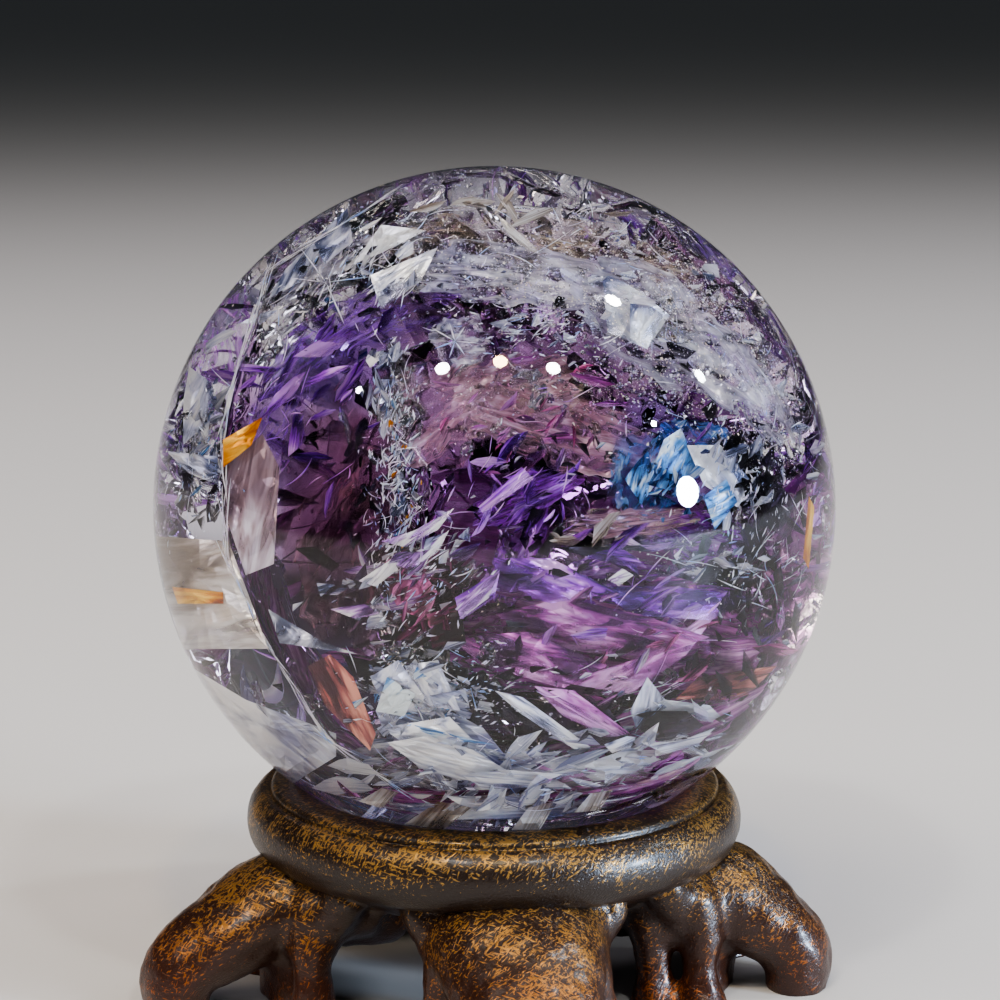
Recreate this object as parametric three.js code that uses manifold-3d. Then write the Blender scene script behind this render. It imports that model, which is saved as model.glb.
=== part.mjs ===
// Polished ametrine sphere resting in a carved wooden stand.
// Millimetres, +Z up, the front of the stand faces -Y.
import * as THREE from 'three';
import { mergeVertices } from 'three/addons/utils/BufferGeometryUtils.js';
import Module from 'manifold-3d';

const wasm = await Module();
wasm.setup();

// Driving dimensions
const sphereRadius = 30;
const sphereHeight = 42.2;      // floor to the sphere's centre
const gap = 0.3;                // between pieces that touch
const lipInner = 17.6;          // where the seat ends under the sphere
const lipOuter = 20.1;
const lipTop = 17.7;
const grooveRadius = 20.5;
const grooveHeight = 16.9;
const beadRadius = 22.2;
const beadDepth = 2.8;          // how far the rounded band stands out
const beadHeight = 14.3;        // its middle
const beadHalf = 3.1;           // half its height
const bossRadius = 14.5;        // flat underside of the dish
const bossHeight = 8.8;
const turns = 54;               // facets around the turned dish

// Each root: azimuth from the front (right is positive), reach of its toe from the axis,
// its breadth as a share of the others, and the side that has a second strut further in
const roots = [
  { name: 'root_front', azimuth: 6, reach: 31.5, breadth: 1.3 },
  { name: 'root_right', azimuth: 79, reach: 30.6, breadth: 1, inner: -1 },
  { name: 'root_back_right', azimuth: 150, reach: 32, breadth: 1.1 },
  { name: 'root_back_left', azimuth: -138, reach: 31, breadth: 1, inner: 1 },
  { name: 'root_left', azimuth: -68, reach: 33, breadth: 1 },
];
const rootSides = 10;
const rootSteps = 8;
const shoulder = 19.6;          // from the axis to the thickest part of a root
const toeRadius = 3;            // thickness of a toe at its tip
const strutFoot = 7;            // sideways from the root's middle to a side strut's foot
const strutReach = 19.7;        // from the axis to a side strut's foot
const innerReach = 15.6;        // from the axis to a second strut's foot

const crystal = new THREE.MeshStandardMaterial({ color: 0x9a7fb5, roughness: 0.02, metalness: 0 });
const wood = new THREE.MeshStandardMaterial({ color: 0x3a281a, roughness: 0.35, metalness: 0 });

function toManifold(geometry) {
  const bare = geometry.clone();
  bare.deleteAttribute('normal');
  bare.deleteAttribute('uv');
  const merged = mergeVertices(bare, 1e-4);
  return new wasm.Manifold(new wasm.Mesh({
    numProp: 3,
    vertProperties: new Float32Array(merged.attributes.position.array),
    triVerts: new Uint32Array(merged.index.array),
  }));
}

function toGeometry(solid) {
  const mesh = solid.getMesh();
  const geometry = new THREE.BufferGeometry();
  geometry.setAttribute('position', new THREE.BufferAttribute(mesh.vertProperties, 3));
  geometry.setIndex(new THREE.BufferAttribute(mesh.triVerts, 1));
  geometry.computeVertexNormals();
  return geometry;
}

// A profile of [radius, height] pairs turned about the Z axis
function turned(profile, segments) {
  const points = profile.map(([r, z]) => new THREE.Vector2(r, z));
  const geometry = new THREE.LatheGeometry(points, segments);
  geometry.rotateX(Math.PI / 2);
  return geometry;
}

// Height of a sphere-shaped seat at a radius
function seatHeight(radius) {
  return sphereHeight - Math.sqrt((sphereRadius + gap) ** 2 - radius ** 2);
}

function ball() {
  const geometry = new THREE.SphereGeometry(sphereRadius, 48, 24);
  geometry.rotateX(Math.PI / 2);
  geometry.translate(0, 0, sphereHeight);
  return geometry;
}

// The rounded band between two angles, grown by a distance
function beadProfile(fromAngle, toAngle, steps, grown) {
  const from = THREE.MathUtils.degToRad(fromAngle);
  const to = THREE.MathUtils.degToRad(toAngle);
  return Array.from({ length: steps + 1 }, (_, i) => {
    const angle = from + (to - from) * i / steps;
    return [
      beadRadius - beadDepth + (beadDepth + grown) * Math.cos(angle),
      beadHeight + (beadHalf + grown) * Math.sin(angle),
    ];
  });
}

// Dish with a spherical seat, a flat lip, a groove and the rounded band
function dish() {
  const seat = Array.from({ length: 6 }, (_, i) => {
    const radius = lipInner * i / 5;
    return [radius, seatHeight(radius)];
  });
  const outside = [
    [lipOuter - 0.4, lipTop - 0.2],
    [lipOuter, lipTop - 0.5],
    [grooveRadius - 0.3, grooveHeight],
    ...beadProfile(60, -84, 8, 0),
    [bossRadius, bossHeight],
    [0, bossHeight],
  ];
  return turned([...outside.reverse(), ...seat.reverse()], turns);
}

// The room that the roots leave for the dish
function dishRoom() {
  return turned([
    [0, bossHeight - gap],
    [bossRadius, bossHeight - gap],
    ...beadProfile(-84, 0, 5, gap),
    [beadRadius + gap, sphereHeight],
    [0, sphereHeight],
  ], turns);
}

// A tapered limb through points [out, sideways, up, radius, width as a share of the radius]
function limb(points, steps = rootSteps, sides = rootSides) {
  const path = new THREE.CatmullRomCurve3(points.map(([x, y, z]) => new THREE.Vector3(x, y, z)));
  const geometry = new THREE.CylinderGeometry(1, 1, 1, sides, steps);
  const position = geometry.attributes.position;
  const side = new THREE.Vector3();
  const up = new THREE.Vector3();
  for (let i = 0; i < position.count; i += 1) {
    const along = 0.5 - position.getY(i);
    const centre = path.getPoint(along);
    const tangent = path.getTangent(along);
    const place = along * (points.length - 1);
    const low = Math.min(Math.floor(place), points.length - 2);
    const between = (k) => THREE.MathUtils.lerp(points[low][k], points[low + 1][k], place - low);
    const radius = between(3);
    up.crossVectors(tangent, new THREE.Vector3(0, 1, 0)).normalize();
    side.crossVectors(up, tangent);
    centre.addScaledVector(up, position.getX(i) * radius);
    centre.addScaledVector(side, -position.getZ(i) * radius * between(4));
    position.setXYZ(i, centre.x, centre.y, centre.z);
  }
  return toManifold(geometry);
}

// One root: a shoulder that slopes straight down to a toe, an apron below it between two struts
// that spread under the dish, and on some roots a second strut further in
function root(reach, breadth, inner) {
  const tip = reach - toeRadius;
  const toe = limb([
    [10.5, 0, 6.8, 3.2, 1.3],
    [16, 0, 8.2, 4.2, 1.5 * breadth],
    [shoulder, 0, 8.5, 4.3, 1.5 * breadth],
    [0.5 * (shoulder + tip), 0, 5.9, 3.6, 1.35 * breadth],
    [tip - 0.7, 0, 3.3, toeRadius, 1.15 * breadth],
    [tip, 0, 0.8, toeRadius - 0.1, 1.1 * breadth],
    [tip - 0.2, 0, -1.5, toeRadius - 0.4, 1.1 * breadth],
  ]);
  const apron = limb([
    [14.5, 0, 8.4, 3.4, 1.7],
    [18, 0, 7.6, 3.2, 2],
    [19.6, 0, 4.8, 2.4, 2.5],
    [strutReach, 0, 1.8, 2.2, 2.9],
    [strutReach, 0, -1.5, 2.2, 3],
  ]);
  const strut = (out, side) => limb([
    [out - 5, 0.5 * side, 9, 3, 1],
    [out - 1.6, 0.7 * side, 8.8, 3.2, 1],
    [out - 0.4, 0.83 * side, 6, 2.4, 1],
    [out - 0.1, 0.95 * side, 3.6, 1.7, 1],
    [out, side, 1, 2.1, 1],
    [out, side, -1.5, 2.4, 1],
  ]);
  const springer = (side) => limb([
    [strutReach - 1.4, 0.82 * side, 6, 1.6, 1],
    [strutReach - 1.9, 0.98 * side, 9, 1.7, 1],
    [strutReach - 2.6, 1.14 * side, 11.6, 1.9, 1],
  ], 4, 6);
  const below = new THREE.BoxGeometry(80, 80, 10).translate(0, 0, -5);
  let whole = toe.add(apron);
  for (const side of [strutFoot, -strutFoot]) {
    whole = whole.add(strut(strutReach, side)).add(springer(side));
  }
  if (inner) whole = whole.add(strut(innerReach, inner * strutFoot));
  return whole.subtract(toManifold(below));
}

const stand = new THREE.Group();
const sphere = new THREE.Mesh(ball(), crystal);
sphere.name = 'sphere';
stand.add(sphere);

const ring = new THREE.Mesh(dish(), wood);
ring.name = 'stand_dish';
stand.add(ring);

const room = toManifold(dishRoom());
for (const { name, azimuth, reach, breadth, inner } of roots) {
  const heading = azimuth - 90;
  const turnedRoot = root(reach, breadth, inner).rotate([0, 0, heading]).subtract(room);
  const mesh = new THREE.Mesh(toGeometry(turnedRoot), wood);
  mesh.name = name;
  stand.add(mesh);
}

// The origin is the middle of the foot of the whole, on the floor
const box = new THREE.Box3().setFromObject(stand);
const middle = box.getCenter(new THREE.Vector3());
stand.position.set(-middle.x, -middle.y, -box.min.z);

export default stand;
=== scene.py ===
# Polished ametrine sphere resting in a carved wooden stand.
import math
import random

import bpy
from mathutils import Euler, Matrix, Vector, noise


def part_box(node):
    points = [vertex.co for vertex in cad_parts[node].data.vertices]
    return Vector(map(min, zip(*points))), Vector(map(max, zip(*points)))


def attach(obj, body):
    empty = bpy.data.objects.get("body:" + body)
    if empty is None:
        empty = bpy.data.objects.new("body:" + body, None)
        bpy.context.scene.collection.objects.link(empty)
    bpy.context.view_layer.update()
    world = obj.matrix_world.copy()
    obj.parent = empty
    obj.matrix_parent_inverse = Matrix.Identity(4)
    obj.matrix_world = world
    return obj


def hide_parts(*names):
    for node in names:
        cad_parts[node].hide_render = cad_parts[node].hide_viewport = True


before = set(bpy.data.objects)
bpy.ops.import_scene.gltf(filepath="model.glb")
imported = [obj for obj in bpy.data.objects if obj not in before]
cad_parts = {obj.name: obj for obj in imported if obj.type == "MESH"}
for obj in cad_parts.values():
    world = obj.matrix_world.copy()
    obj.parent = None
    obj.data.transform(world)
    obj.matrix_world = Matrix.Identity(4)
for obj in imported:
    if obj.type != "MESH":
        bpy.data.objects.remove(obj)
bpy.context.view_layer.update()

mm = 0.001    # Blender's unit is the metre
ballLow, ballHigh = (Vector(corner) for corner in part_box("sphere"))
ballCentre = (ballLow + ballHigh) / 2
ballRadius = (ballHigh.z - ballLow.z) / 2
axis = Vector((ballCentre.x, ballCentre.y, 0))    # the stand is turned and carved round it
quartzIor = 1.544


# Small helpers

def selectOnly(*objects):
    bpy.ops.object.select_all(action="DESELECT")
    for thing in objects:
        thing.select_set(True)
    bpy.context.view_layer.objects.active = objects[0]


def addObject(operator, **settings):
    # a new object from an add operator, with nothing else selected
    bpy.ops.object.select_all(action="DESELECT")
    operator(**settings)
    return bpy.context.object


def newPiece(name, points, faces, edges=()):
    mesh = bpy.data.meshes.new(name)
    mesh.from_pydata(points, edges, faces)
    piece = bpy.data.objects.new(name, mesh)
    bpy.context.scene.collection.objects.link(piece)
    return piece


def applyModifier(piece, kind, **settings):
    selectOnly(piece)
    modifier = piece.modifiers.new(kind.lower(), kind)
    for key, value in settings.items():
        setattr(modifier, key, value)
    bpy.ops.object.modifier_apply(modifier=modifier.name)


def editAll(piece, operator, **settings):
    # one edit-mode operator on all of a piece
    selectOnly(piece)
    bpy.ops.object.mode_set(mode="EDIT")
    bpy.ops.mesh.select_all(action="SELECT")
    operator(**settings)
    bpy.ops.object.mode_set(mode="OBJECT")


def joinAll(pieces, name):
    selectOnly(*pieces)
    bpy.ops.object.join()
    joined = bpy.context.object
    joined.name = name
    joined.data.name = name
    bpy.ops.object.transform_apply(location=True, rotation=True, scale=True)
    return joined


def shadeSmooth(piece):
    piece.data.polygons.foreach_set("use_smooth", [True] * len(piece.data.polygons))
    piece.data.update()


def uneven(place, octaves=3):
    # natural ups and downs, finer ones on coarser ones
    return noise.fractal(place, 0.9, 2.1, octaves)


def dress(piece, material):
    piece.data.materials.clear()
    piece.data.materials.append(material)
    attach(piece, "root")


# Camera at the photograph's angle

cameraSettings = {
    "elevation": 10.5,       # degrees above the horizon
    "distance": 255 * mm,
    "lens": 103.8,           # mm
    "aimRight": 0.49 * mm,   # the picture's middle, from the ball's centre
    "aimUp": 0.65 * mm,
}


def placeCamera(s):
    lift = math.radians(s["elevation"])
    place = ballCentre + Vector((0, -math.cos(lift), math.sin(lift))) * s["distance"]
    up = Vector((0, math.sin(lift), math.cos(lift)))
    aim = ballCentre + Vector((s["aimRight"], 0, 0)) + up * s["aimUp"]
    camera = addObject(bpy.ops.object.camera_add, location=place)
    camera.rotation_euler = (aim - place).to_track_quat("-Z", "Y").to_euler()
    camera.data.lens = s["lens"]
    camera.data.clip_start = 0.01
    bpy.context.scene.camera = camera
    return place, up


eye, eyeUp = placeCamera(cameraSettings)
eyeRight = Vector((1, 0, 0))
eyeBack = eyeRight.cross(eyeUp)                   # from the ball towards the camera


def skinAt(right, up):
    # where the sight ray right and up mm from the ball's centre meets the skin, its way and the normal
    ray = (ballCentre + (eyeRight * right + eyeUp * up) * mm - eye).normalized()
    out = eye - ballCentre
    b = ray.dot(out)
    hit = eye + ray * (-b - math.sqrt(max(b * b - out.length_squared + ballRadius ** 2, 0)))
    return hit, ray, (hit - ballCentre).normalized()


def seenAt(right, up, depth):
    # the spot inside the ball that the front view shows right and up mm from its centre;
    # depth is its share of the way along the bent ray, 0 at the front skin and 1 at the back
    hit, ray, normal = skinAt(right, up)
    facing = -ray.dot(normal)
    bend = 1 / quartzIor
    inner = ray * bend + normal * (bend * facing - math.sqrt(1 - bend ** 2 * (1 - facing ** 2)))
    chord = -2 * inner.dot(normal) * ballRadius
    return hit + inner * chord * depth


# Materials

def srgb(code):
    parts = [int(code[i:i + 2], 16) / 255 for i in (1, 3, 5)]
    return [c / 12.92 if c <= 0.04045 else ((c + 0.055) / 1.055) ** 2.4 for c in parts] + [1]


def addNode(tree, kind, inputs=None, stops=None, out=0, **settings):
    # adds a node with its settings; an input is a value or the output that it is linked to, and stops
    # are a ramp's places and colours; gives back one of its outputs
    node = tree.nodes.new("ShaderNode" + kind)
    for key, value in settings.items():
        setattr(node, key, value)
    for key, value in (inputs or {}).items():
        if isinstance(value, bpy.types.NodeSocket):
            tree.links.new(value, node.inputs[key])
        else:
            node.inputs[key].default_value = value
    if stops:
        elements = node.color_ramp.elements
        elements.remove(elements[1])
        for index, (place, colour) in enumerate(stops):
            element = elements.new(place) if index else elements[0]
            element.position = place
            element.color = colour
    return node.outputs[out] if node.outputs else node


def newMaterial(name):
    material = bpy.data.materials.new(name)
    material.use_nodes = True
    material.node_tree.nodes.clear()
    return material, material.node_tree


def absorbing(name, tint, density, ior):
    # clear quartz: the tint deepens with the way that the light takes through it
    material, tree = newMaterial(name)
    shader = addNode(tree, "BsdfPrincipled", {
        "Base Color": (1, 1, 1, 1), "Roughness": 0, "IOR": ior, "Transmission Weight": 1})
    volume = addNode(tree, "VolumeAbsorption", {"Color": srgb(tint), "Density": density})
    addNode(tree, "OutputMaterial", {"Surface": shader, "Volume": volume})
    return material


# The room: pale floor, soft lights

roomSettings = {
    "floor": "#b6b3af",
    "floorSize": 60,         # m, so that its edge is far beyond the picture
    "world": "#8f959c",
    "worldStrength": 0.15,
    "boxes": [
        # azimuth from the front (right positive), elevation, distance m, width m, watts, colour
        ("softTop", -30, 58, 0.9, 0.45, 4.2, "#fff6ea"),
        ("softFront", -18, 2, 0.9, 0.3, 3.4, "#f6f8ff"),
        ("softLeft", -80, 22, 0.9, 0.35, 2.5, "#fff0dc"),
        ("softRight", 60, 28, 0.9, 0.35, 3, "#e2ecff"),
        ("backLeft", -115, 20, 0.9, 0.35, 1.4, "#f2f0ff"),
        ("backRight", 115, 20, 0.9, 0.35, 1.4, "#f2f0ff"),
        ("backTop", 180, 65, 0.9, 0.3, 2, "#f2f0ff"),
    ],
    "spots": [
        # where the front of the ball mirrors the lamp, right and up mm, width m, watts, colour
        ("window", 17.1, 1.4, 0.12, 9, "#cfe4ff"),
        ("spot1", 10.5, 18.3, 0.06, 1.1, "#ffffff"), ("spot2", -4.6, 12.3, 0.06, 1.1, "#ffffff"),
        ("spot3", 0.5, 12.9, 0.06, 1.1, "#ffdca0"), ("spot4", 5.2, 12.3, 0.06, 1.1, "#ffffff"),
        ("spot5", 18.2, 11.6, 0.05, 0.6, "#f2fbff"), ("spot6", -12, 10.4, 0.03, 0.3, "#ffffff"),
        ("spot7", 14.1, 7.4, 0.03, 0.3, "#ffffff"),
    ],
    "spotDistance": 0.8,
}


def addLight(name, start, way, distance, width, power, tint):
    light = addObject(bpy.ops.object.light_add, type="AREA", location=start + way * distance)
    light.name = name
    light.rotation_euler = way.to_track_quat("Z", "Y").to_euler()
    light.data.shape = "DISK"
    light.data.size = width
    light.data.energy = power
    light.data.color = srgb(tint)[:3]
    return light


def makeRoom(s):
    floor = addObject(bpy.ops.mesh.primitive_plane_add, size=s["floorSize"])
    floor.name = "floor"
    material, tree = newMaterial("paleFloor")    # matt painted board, plain and pale
    paint = addNode(tree, "BsdfPrincipled", {"Base Color": srgb(s["floor"]), "Roughness": 0.6})
    addNode(tree, "OutputMaterial", {"Surface": paint})
    floor.data.materials.append(material)
    world = bpy.data.worlds.new("studio")
    bpy.context.scene.world = world
    world.use_nodes = True
    background = world.node_tree.nodes["Background"]
    background.inputs["Color"].default_value = srgb(s["world"])
    background.inputs["Strength"].default_value = s["worldStrength"]
    for name, azimuth, elevation, distance, width, power, tint in s["boxes"]:
        a, e = math.radians(azimuth), math.radians(elevation)
        way = Vector((math.sin(a) * math.cos(e), -math.cos(a) * math.cos(e), math.sin(e)))
        box = addLight(name, ballCentre, way, distance, width, power, tint)
        box.visible_glossy = False    # the polish mirrors only the small lamps
    for name, right, up, width, power, tint in s["spots"]:
        hit, ray, normal = skinAt(right, up)
        addLight(name, hit, ray - normal * 2 * normal.dot(ray), s["spotDistance"], width, power, tint)


makeRoom(roomSettings)
print("room made")


# Turned dish of the stand

dishSettings = {
    # mm, as in the solids
    "lipInner": 17.6, "lipOuter": 20.1, "lipTop": 17.7, "grooveRadius": 20.5, "grooveHeight": 16.9,
    "beadRadius": 22.2, "beadDepth": 2.8, "beadHeight": 14.3, "beadHalf": 3.1, "bossRadius": 14.5,
    "bossHeight": 8.8,
    "beadTop": 62, "beadFoot": -84,    # degrees round the rounded band's middle
    "seatSteps": 14, "beadSteps": 20, "turnSteps": 160,
    "seatGap": 0.08, "wobble": 0.09, "wobbleGrain": 4,
}


def dishProfile(s):
    seatRadius = ballRadius / mm + s["seatGap"]
    seat = [(r, ballCentre.z / mm - math.sqrt(seatRadius ** 2 - r ** 2))
            for r in (s["lipInner"] * i / s["seatSteps"] for i in range(s["seatSteps"] + 1))]
    inner, outer, top = s["lipInner"], s["lipOuter"], s["lipTop"]
    lip = [(inner + 0.1, top + 0.1), (inner + 0.4, top + 0.22), (inner + 1, top + 0.2),
           (inner + 1.7, top + 0.05), (outer - 0.35, top - 0.1), (outer - 0.1, top - 0.3),
           (outer, top - 0.55), (outer - 0.02, s["grooveHeight"] + 0.1),
           (outer + 0.1, s["grooveHeight"] - 0.1)]
    depth = s["beadDepth"]
    bead = []
    for i in range(s["beadSteps"] + 1):
        angle = math.radians(s["beadTop"] + (s["beadFoot"] - s["beadTop"]) * i / s["beadSteps"])
        bead.append((s["beadRadius"] - depth + depth * math.cos(angle),
                     s["beadHeight"] + s["beadHalf"] * math.sin(angle)))
    under = [(s["bossRadius"], s["bossHeight"]), (0, s["bossHeight"])]
    return seat + lip + bead + under


carveRadius = 20    # mm, where the grooves' spacing is true


def carve(piece, broad, fine, grain, keep=None):
    # the hand-cut surface: low lumps, and grooves that run outwards and down
    normals = [vertex.normal.copy() for vertex in piece.data.vertices]
    for vertex, normal in zip(piece.data.vertices, normals):
        if keep and keep(vertex.co):
            continue
        place = (vertex.co - axis) / mm
        around = math.atan2(place.y, place.x) * carveRadius
        lumps = uneven(place / grain)
        grooves = abs(noise.noise(Vector((around / 1.3, place.xy.length / 7, place.z / 7)))) - 0.2
        vertex.co += normal * (broad * lumps + fine * grooves) * mm


def makeDish(s):
    points = [(r * mm + axis.x, axis.y, z * mm) for r, z in dishProfile(s)]
    dish = newPiece("standDish", points, [], [(i, i + 1) for i in range(len(points) - 1)])
    editAll(dish, bpy.ops.mesh.spin, steps=s["turnSteps"], angle=math.tau, center=axis, axis=(0, 0, 1))
    editAll(dish, bpy.ops.mesh.remove_doubles, threshold=0.01 * mm)
    editAll(dish, bpy.ops.mesh.normals_make_consistent, inside=False)
    carve(dish, s["wobble"], 0, s["wobbleGrain"],
          keep=lambda co: (co - ballCentre).length < ballRadius + 0.4 * mm)    # the seat stays true
    shadeSmooth(dish)
    return dish


# Carved roots of the stand

rootSettings = {
    # azimuth from the front (right is positive), reach of the toe in mm, breadth, side of an inner strut
    "roots": [(6, 31.5, 1.3, 0), (79, 30.6, 1, -1), (150, 32, 1.1, 0), (-138, 31, 1, 1), (-68, 33, 1, 0)],
    "shoulder": 19.6, "toeRadius": 3, "strutFoot": 7, "strutReach": 19.7, "innerReach": 15.6,
    "neckLow": 8.6, "neckHigh": 11.8, "neckInner": 14.9, "neckOuter": 20.4,
    "voxel": 0.34 * mm, "smoothing": 22, "lumps": 0.3, "grooves": 0.12, "grain": 4.5,
}


def tube(points, heading, breadth=1):
    # a tapered limb through points (out, sideways, up, radius) in mm, its section wider by the breadth
    curve = addObject(bpy.ops.curve.primitive_nurbs_path_add)
    curve.data.splines.remove(curve.data.splines[0])
    spline = curve.data.splines.new("NURBS")
    spline.points.add(len(points) - 1)
    for point, (out, side, up, radius) in zip(spline.points, points):
        point.co = (out * mm, side * mm, up * mm, 1)
        point.radius = radius
    spline.use_endpoint_u = True
    spline.order_u = 3
    curve.data.dimensions = "3D"
    curve.data.bevel_depth = mm
    curve.data.bevel_resolution = 5
    curve.data.use_fill_caps = True
    bpy.ops.object.convert(target="MESH")
    limb = bpy.context.object
    limb.scale = (1, breadth, 1)
    limb.rotation_euler = (0, 0, heading)
    limb.location = axis
    return limb


def strut(out, side, heading):
    return tube([(out - 5.5, 0.5 * side, 9, 3), (out - 1.5, 0.66 * side, 9.6, 3.4),
                 (out - 0.2, 0.85 * side, 6.2, 2.3), (out - 0.1, 0.95 * side, 3.4, 1.5),
                 (out, side, 1, 2), (out + 0.4, 1.06 * side, -2, 3)], heading)


def makeRoots(s):
    limbs = [addObject(
        bpy.ops.mesh.primitive_cone_add,
        vertices=96, radius1=s["neckInner"] * mm, radius2=s["neckOuter"] * mm,
        depth=(s["neckHigh"] - s["neckLow"]) * mm,
        location=axis + Vector((0, 0, (s["neckHigh"] + s["neckLow"]) / 2 * mm)))]
    for azimuth, reach, breadth, inner in s["roots"]:
        heading = math.radians(azimuth - 90)
        shoulder, thick = s["shoulder"], s["toeRadius"]
        tip = reach - thick
        limbs.append(tube([
            (9.5, 0, 6.6, 3.2), (15, 0, 8.2, 4.3), (shoulder, 0, 9, 4.5),
            (0.5 * (shoulder + tip) + 0.4, 0, 6.2, 3.8), (tip - 0.3, 0, 3.7, thick + 0.15),
            (tip + 0.1, 0, 0.8, thick - 0.05), (tip - 0.2, 0, -2, thick - 0.5)], heading, 1.35 * breadth))
        limbs.append(tube([
            (13.5, 0, 8.4, 3.4), (18.4, 0, 8.2, 3.3), (19.8, 0, 4.8, 2.4),
            (s["strutReach"], 0, 1.8, 2.1), (s["strutReach"], 0, -2, 2.3)], heading, 2.3))
        for side in (s["strutFoot"], -s["strutFoot"]):
            limbs.append(strut(s["strutReach"], side, heading))
            out = s["strutReach"]
            limbs.append(tube([(out - 1.4, 0.84 * side, 5.5, 1.3), (out - 2.2, 0.96 * side, 8.4, 1.8),
                               (out - 3.2, 1.2 * side, 11.2, 1.9)], heading))
        if inner:
            limbs.append(strut(s["innerReach"], s["strutFoot"] * inner, heading))
    roots = joinAll(limbs, "standRoots")
    applyModifier(roots, "REMESH", mode="VOXEL", voxel_size=s["voxel"])
    applyModifier(roots, "SMOOTH", factor=0.5, iterations=s["smoothing"])
    carve(roots, s["lumps"], s["grooves"], s["grain"])
    editAll(roots, bpy.ops.mesh.bisect, plane_co=(0, 0, 0), plane_no=(0, 0, 1), threshold=1e-6,
            clear_inner=True, use_fill=True)
    shadeSmooth(roots)
    return roots


def carvedRosewood():
    # stained rosewood worked over with bronze wax: near black, short golden strokes left by the brush,
    # redder low down, and fewer strokes on faces that turn downwards, which is painted shade; under a thin
    # satin lacquer
    material, tree = newMaterial("carvedRosewood")
    place = addNode(tree, "TexCoord", out="Object")
    broad = addNode(tree, "TexNoise", {"Vector": place, "Scale": 1 / (5 * mm), "Detail": 3, "Roughness": 0.6})
    height = addNode(tree, "SeparateXYZ", {0: place}, out="Z")
    low = addNode(tree, "MapRange", {"Value": height, "From Min": 13 * mm, "From Max": 3 * mm})
    normal = addNode(tree, "NewGeometry", out="Normal")
    facing = addNode(tree, "SeparateXYZ", {0: normal}, out="Z")
    # fewer gold strokes where the surface turns downwards: painted shade under the bead and the limbs
    paintedShadeBelow = addNode(tree, "MapRange", {"Value": facing, "From Min": -0.55, "From Max": 0.5,
                                        "To Min": -0.14, "To Max": 0.015})
    strokes = []
    for turn in ((0.2, 0.4, 1.25), (-0.5, 0.3, 1.9), (1.25, 0.5, 0.2)):
        drawn = addNode(tree, "Mapping", {"Vector": place, "Rotation": turn, "Scale": (1, 5, 1)},
                        vector_type="TEXTURE")
        strokes.append(addNode(tree, "TexNoise", {"Vector": drawn, "Scale": 1 / (0.2 * mm), "Detail": 1,
                                                  "Roughness": 0.5, "Distortion": 0.3}))
    flecks = addNode(tree, "Math", {0: strokes[0], 1: strokes[1]}, operation="MAXIMUM")
    flecks = addNode(tree, "Math", {0: flecks, 1: strokes[2]}, operation="MAXIMUM")
    patch = addNode(tree, "MapRange", {"Value": broad, "From Min": 0.36, "From Max": 0.62,
                                       "To Min": -0.07, "To Max": 0.05})
    coverage = addNode(tree, "Math", {0: paintedShadeBelow, 1: patch}, operation="ADD")
    level = addNode(tree, "Math", {0: flecks, 1: coverage}, operation="ADD")
    gold = addNode(tree, "ValToRGB", {"Fac": level}, stops=[(0.6, (0, 0, 0, 1)), (0.72, (1, 1, 1, 1))])
    dark = addNode(tree, "Mix", {"Factor": low, "A": srgb("#1a0f08"), "B": srgb("#2c140a")},
                   out="Result", data_type="RGBA")
    bright = addNode(tree, "Mix", {"Factor": low, "A": srgb("#a88044"), "B": srgb("#98582c")},
                     out="Result", data_type="RGBA")
    colour = addNode(tree, "Mix", {"Factor": gold, "A": dark, "B": bright}, out="Result", data_type="RGBA")
    shine = addNode(tree, "MapRange", {"Value": gold, "To Min": 0, "To Max": 0.8})
    ripple = addNode(tree, "Bump", {"Height": flecks, "Strength": 0.9, "Distance": 0.1 * mm})
    shader = addNode(tree, "BsdfPrincipled", {
        "Base Color": colour, "Roughness": 0.36, "IOR": 1.5, "Metallic": shine, "Normal": ripple,
        "Coat Weight": 0.2, "Coat Roughness": 0.2})
    addNode(tree, "OutputMaterial", {"Surface": shader})
    return material


wood = carvedRosewood()
dish = makeDish(dishSettings)
dress(dish, wood)
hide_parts("stand_dish")
roots = makeRoots(rootSettings)
dress(roots, wood)
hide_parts("root_front", "root_right", "root_back_right", "root_back_left", "root_left")
print("stand made", len(roots.data.polygons), "faces in the roots")


# The crystal

belowSkin = {"leaf": 0.5, "zone": 0.8, "flake": 0.3, "splinter": 0.3, "hair": 0.25}    # mm at least


def inBall(point, kind):
    # keeps a point of the inside below the polished skin
    way = point - ballCentre
    limit = ballRadius - belowSkin[kind] * mm
    return point if way.length < limit else ballCentre + way * (limit / way.length)


def layOut(side, right, up, depth, turn=0, lean=0, spin=0):
    # a frame inside the ball: it faces the viewer, is turned to the right and leaned back,
    # and side is the azimuth that the viewer stands at, 0 for the front
    tilt = Matrix.Rotation(math.radians(turn), 3, eyeUp) @ Matrix.Rotation(math.radians(-lean), 3, eyeRight)
    basis = tilt @ Matrix((eyeRight, eyeUp, eyeBack)).transposed()
    basis = basis @ Matrix.Rotation(math.radians(spin), 3, "Z")
    front = Matrix.Translation(seenAt(right, up, depth) - ballCentre) @ basis.to_4x4()
    return Matrix.Translation(ballCentre) @ Matrix.Rotation(math.radians(side), 4, "Z") @ front


ragged = 0.35      # how far a leaf's edge swings, as a share of its size
edgeWaves = 1.5    # a larger one gives more swings round the edge


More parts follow.
